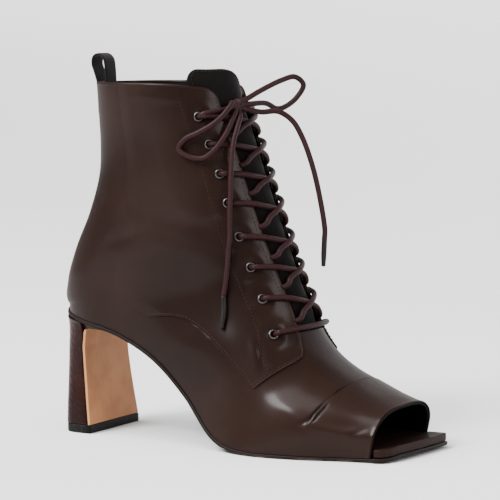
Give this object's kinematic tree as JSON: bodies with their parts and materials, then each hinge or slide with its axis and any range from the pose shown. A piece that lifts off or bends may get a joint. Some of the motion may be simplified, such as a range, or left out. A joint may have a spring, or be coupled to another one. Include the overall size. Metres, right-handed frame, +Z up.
{
  "type": "peep toe ankle boot",
  "caption": "Right peep toe ankle boot in brown leather: laced front, zip on the inner side, squared open toe and a high flared block heel.",
  "frame": {"origin": "on the floor, under the middle of the boot's length and width", "axes": "+X points to the toe, +Y to the inner side of the foot, +Z up; the heel tip and the forefoot stand on z = 0"},
  "size_m": [0.2324, 0.0952, 0.2254],
  "materials": {
    "brown_leather": "smooth, semi-gloss",
    "sole_leather": "smooth, dark",
    "heel_leather": "embossed, glossy",
    "tan_leather": "smooth, satin",
    "black_lining": "soft, matt",
    "black_rubber": "matt",
    "zip_tape": "woven, matt",
    "lace_cord": "round braided and waxed",
    "lace_tip": "gloss",
    "gunmetal": "polished, dark",
    "chrome": "polished"
  },
  "bodies": {
    "boot": {"upper": "brown_leather", "eyelet_outer_1": "gunmetal", "eyelet_outer_2": "gunmetal", "eyelet_outer_3": "gunmetal", "eyelet_outer_4": "gunmetal", "eyelet_outer_5": "gunmetal", "eyelet_outer_6": "gunmetal", "eyelet_outer_7": "gunmetal", "eyelet_outer_8": "gunmetal", "eyelet_inner_1": "gunmetal", "eyelet_inner_2": "gunmetal", "eyelet_inner_3": "gunmetal", "eyelet_inner_4": "gunmetal", "eyelet_inner_5": "gunmetal", "eyelet_inner_6": "gunmetal", "eyelet_inner_7": "gunmetal", "eyelet_inner_8": "gunmetal", "outsole": "sole_leather", "insole_platform": "brown_leather", "heel_block": "heel_leather", "heel_tip": "black_rubber", "heel_breast_cover": "tan_leather", "tongue": "black_lining", "zip_tape": "zip_tape", "zip_slider": "chrome", "pull_loop": "black_lining", "lace_crossing_1": "lace_cord", "lace_crossing_2": "lace_cord", "lace_crossing_3": "lace_cord", "lace_crossing_4": "lace_cord", "lace_crossing_5": "lace_cord", "lace_crossing_6": "lace_cord", "lace_crossing_7": "lace_cord", "lace_bar_low": "lace_cord", "lace_top_outer": "lace_cord", "lace_top_inner": "lace_cord", "lace_knot": "lace_cord", "lace_loop_outer": "lace_cord", "lace_loop_inner": "lace_cord", "lace_end_outer": "lace_cord", "lace_end_inner": "lace_cord", "lace_tip_outer": "lace_tip", "lace_tip_inner": "lace_tip"},
    "zip_pull": {"zip_pull_frame": "chrome", "zip_pull_tag": "black_lining"}
  },
  "joints": [
    {"name": "zip_pull_hinge", "type": "hinge", "parent": "boot", "child": "zip_pull", "pos_m": [-0.03697, 0.03635, 0.2005], "axis": [0.9874, -0.1583, 0], "range_deg": [0, 170]}
  ]
}
